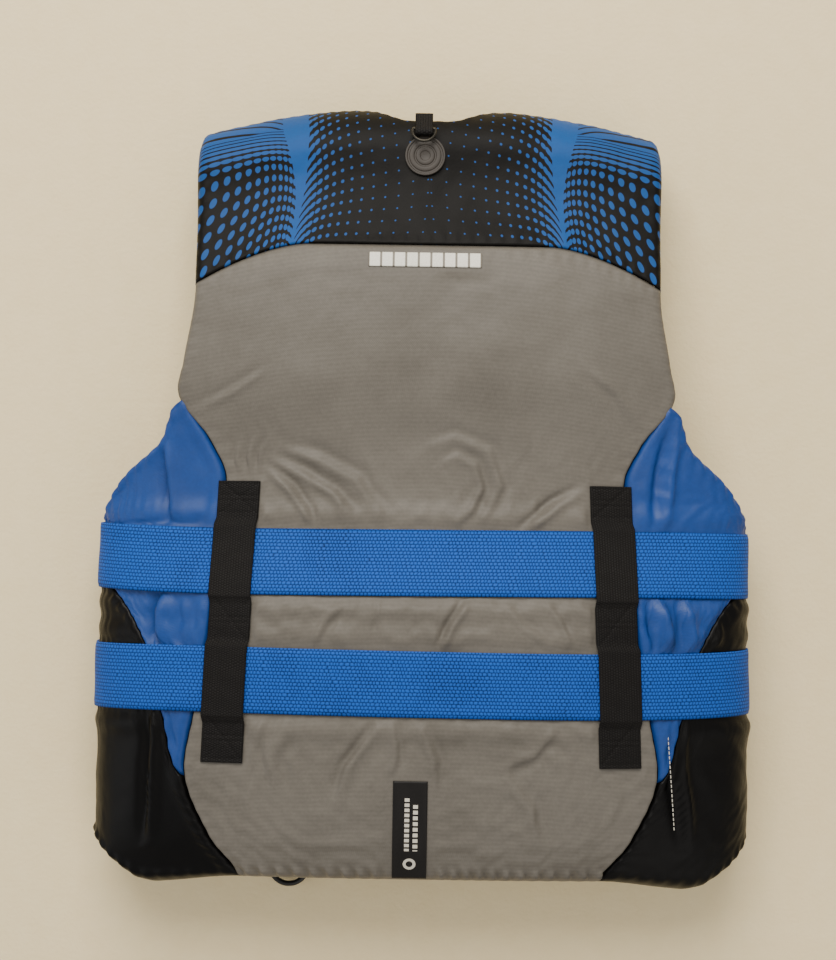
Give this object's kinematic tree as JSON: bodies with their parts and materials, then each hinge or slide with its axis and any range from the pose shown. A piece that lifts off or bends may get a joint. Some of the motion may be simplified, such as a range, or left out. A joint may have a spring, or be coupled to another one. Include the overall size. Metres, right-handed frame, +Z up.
{
  "type": "foam life jacket",
  "caption": "Foam-filled nylon life jacket with a zipped front and waist belts in side-release buckles, lying on its front with the back up.",
  "frame": {"origin": "on the surface that the jacket lies on, under the middle of its length and width", "axes": "+X to the wearer's right, +Y to the neck, +Z up out of the back"},
  "size_m": [0.5139, 0.6213, 0.118],
  "materials": {
    "grey_nylon": "coated plain-weave nylon",
    "printed_nylon": "plain-weave nylon with a printed dot pattern",
    "blue_nylon": "coated plain-weave nylon",
    "black_nylon": "coated plain-weave nylon",
    "lining": "mesh lining cloth",
    "foam": "closed-cell polyethylene foam",
    "blue_webbing": "woven polypropylene webbing",
    "black_webbing": "woven polypropylene webbing",
    "elastic": "woven elastic",
    "ring_steel": "dark coated steel wire",
    "label_cloth": "woven satin label",
    "badge_rubber": "moulded soft rubber",
    "reflective_tape": "off-white reflective print",
    "zip_tape": "woven zip tape",
    "slider_metal": "lacquered die-cast metal",
    "black_plastic": "moulded acetal"
  },
  "bodies": {
    "vest": {"back_shell": "grey_nylon", "back_yoke": "printed_nylon", "side_panel_left": "blue_nylon", "side_panel_right": "blue_nylon", "corner_panel_left": "black_nylon", "corner_panel_right": "black_nylon", "back_lining": "lining", "front_shell_left": "grey_nylon", "front_shell_right": "grey_nylon", "front_lining_left": "lining", "front_lining_right": "lining", "strap_cover_left": "printed_nylon", "strap_cover_right": "printed_nylon", "back_foam_upper": "foam", "back_foam_lower": "foam", "side_foam_left": "foam", "side_foam_right": "foam", "front_foam_left": "foam", "front_foam_right": "foam", "chest_foam_left": "foam", "chest_foam_right": "foam", "strap_foam_left": "foam", "strap_foam_right": "foam", "upper_belt": "blue_webbing", "lower_belt": "blue_webbing", "upper_belt_end": "blue_webbing", "lower_belt_end": "blue_webbing", "upper_belt_tail": "blue_webbing", "lower_belt_tail": "blue_webbing", "upper_tail_keeper": "elastic", "lower_tail_keeper": "elastic", "back_keeper_left": "black_webbing", "back_keeper_right": "black_webbing", "front_keeper_left": "black_webbing", "front_keeper_right": "black_webbing", "neck_loop": "black_webbing", "lanyard_loop": "black_webbing", "hem_label": "label_cloth", "round_badge": "badge_rubber", "reflective_bar": "reflective_tape", "zip_tape_left": "zip_tape", "zip_tape_right": "zip_tape", "zip_teeth_left": "black_plastic", "zip_teeth_right": "black_plastic", "zip_box": "black_plastic", "zip_stops": "black_plastic", "upper_socket": "black_plastic", "lower_socket": "black_plastic"},
    "neck_ring": {"neck_d_ring": "ring_steel"},
    "lanyard_ring": {"lanyard_d_ring": "black_plastic"},
    "zip_slider_body": {"zip_slider": "slider_metal"},
    "zip_pull_body": {"zip_pull": "black_plastic"},
    "upper_plug_body": {"upper_plug": "black_plastic"},
    "upper_latch_a": {"upper_latch_neck_side": "black_plastic"},
    "upper_latch_b": {"upper_latch_hem_side": "black_plastic"},
    "lower_plug_body": {"lower_plug": "black_plastic"},
    "lower_latch_a": {"lower_latch_neck_side": "black_plastic"},
    "lower_latch_b": {"lower_latch_hem_side": "black_plastic"}
  },
  "joints": [
    {"name": "neck_ring_swing", "type": "hinge", "parent": "vest", "child": "neck_ring", "pos_m": [-0.005, 0.29074, 0.0786], "axis": [-1, 0, 0], "range_deg": [0, 120]},
    {"name": "lanyard_ring_swing", "type": "hinge", "parent": "vest", "child": "lanyard_ring", "pos_m": [-0.105, -0.28949, 0.0072], "axis": [1, 0, 0], "range_deg": [-80, 12]},
    {"name": "zip_slide", "type": "slide", "parent": "vest", "child": "zip_slider_body", "axis": [0, -1, 0], "range_m": [0, 0.367], "deforming": ["zip_teeth_left", "zip_teeth_right"]},
    {"name": "zip_pull_swing", "type": "hinge", "parent": "zip_slider_body", "child": "zip_pull_body", "pos_m": [0, 0.10735, 0.014], "axis": [1, 0, 0], "range_deg": [0, 170]},
    {"name": "upper_plug_slide", "type": "slide", "parent": "vest", "child": "upper_plug_body", "axis": [-1, 0, 0], "range_m": [0, 0.032], "deforming": ["upper_belt_end"]},
    {"name": "upper_latch_a_press", "type": "hinge", "parent": "upper_plug_body", "child": "upper_latch_a", "pos_m": [-0.013, -0.02631, 0.0066], "axis": [0, 0, -1], "range_deg": [0, 8], "stiffness_Nm_per_rad": 0.75},
    {"name": "upper_latch_b_press", "type": "hinge", "parent": "upper_plug_body", "child": "upper_latch_b", "pos_m": [-0.013, -0.06031, 0.0066], "axis": [0, 0, 1], "range_deg": [0, 8], "stiffness_Nm_per_rad": 0.75},
    {"name": "lower_plug_slide", "type": "slide", "parent": "vest", "child": "lower_plug_body", "axis": [-1, 0, 0], "range_m": [0, 0.032], "deforming": ["lower_belt_end"]},
    {"name": "lower_latch_a_press", "type": "hinge", "parent": "lower_plug_body", "child": "lower_latch_a", "pos_m": [-0.013, -0.11731, 0.0066], "axis": [0, 0, -1], "range_deg": [0, 8], "stiffness_Nm_per_rad": 0.75},
    {"name": "lower_latch_b_press", "type": "hinge", "parent": "lower_plug_body", "child": "lower_latch_b", "pos_m": [-0.013, -0.15131, 0.0066], "axis": [0, 0, 1], "range_deg": [0, 8], "stiffness_Nm_per_rad": 0.75}
  ]
}
